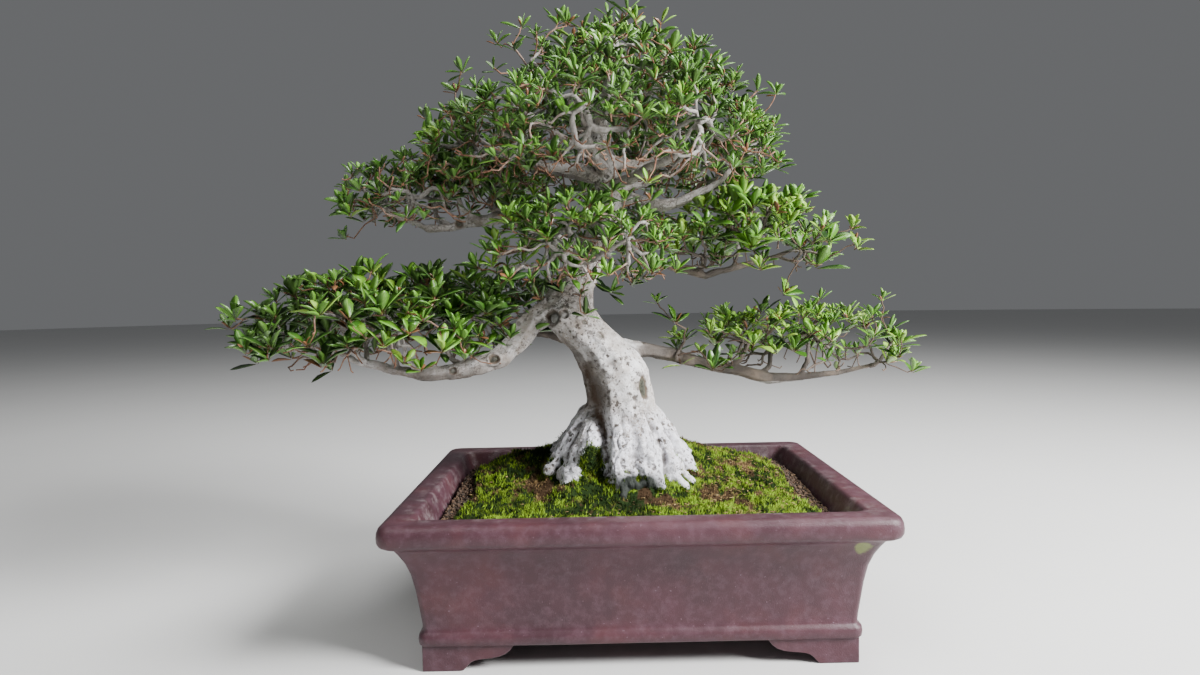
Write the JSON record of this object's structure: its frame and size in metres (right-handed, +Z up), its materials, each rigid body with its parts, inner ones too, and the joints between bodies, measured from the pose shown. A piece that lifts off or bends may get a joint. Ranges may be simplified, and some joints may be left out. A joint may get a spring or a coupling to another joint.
{
  "type": "bonsai tree",
  "caption": "Azalea bonsai with a leaning pale trunk, flared roots and layered leafy pads, planted in mossy soil in a rectangular stoneware pot on bracket feet.",
  "frame": {"origin": "middle of the object's footprint box, on the surface that the pot's feet stand on", "axes": "+X along the pot's length to the right of the tree's front view, +Y away from the front, +Z up"},
  "size_m": [0.7334, 0.35, 0.6287],
  "materials": {
    "clay": "satin",
    "net": "matte",
    "soil": "matte",
    "moss": "matte",
    "bark": "matte",
    "leaf": "satin"
  },
  "bodies": {
    "root": {"pot": "clay", "drain_screen_1": "net", "drain_screen_2": "net", "soil": "soil", "moss": "moss", "wood": "bark", "spray_low_left_1": "leaf", "spray_low_left_2": "leaf", "spray_low_left_3": "leaf", "spray_low_left_4": "leaf", "spray_low_left_5": "leaf", "spray_low_left_6": "leaf", "spray_low_back_1": "leaf", "spray_low_back_2": "leaf", "spray_low_right_1": "leaf", "spray_low_right_2": "leaf", "spray_low_right_3": "leaf", "spray_low_right_4": "leaf", "spray_mid_right_1": "leaf", "spray_mid_right_2": "leaf", "spray_mid_right_3": "leaf", "spray_mid_right_4": "leaf", "spray_upper_left_1": "leaf", "spray_upper_left_2": "leaf", "spray_upper_left_3": "leaf", "spray_upper_left_4": "leaf", "spray_upper_left_5": "leaf", "spray_front_1": "leaf", "spray_front_2": "leaf", "spray_front_3": "leaf", "spray_front_4": "leaf", "spray_back_1": "leaf", "spray_back_2": "leaf", "spray_crown_1": "leaf", "spray_crown_2": "leaf", "spray_crown_3": "leaf", "spray_crown_4": "leaf", "spray_crown_5": "leaf", "spray_crown_6": "leaf", "spray_crown_7": "leaf", "spray_crown_8": "leaf", "spray_crown_9": "leaf", "spray_crown_10": "leaf", "spray_crown_11": "leaf", "spray_crown_12": "leaf", "spray_crown_13": "leaf", "spray_crown_14": "leaf", "spray_crown_15": "leaf", "spray_crown_16": "leaf", "spray_crown_17": "leaf", "spray_crown_18": "leaf"}
  },
  "joints": []
}
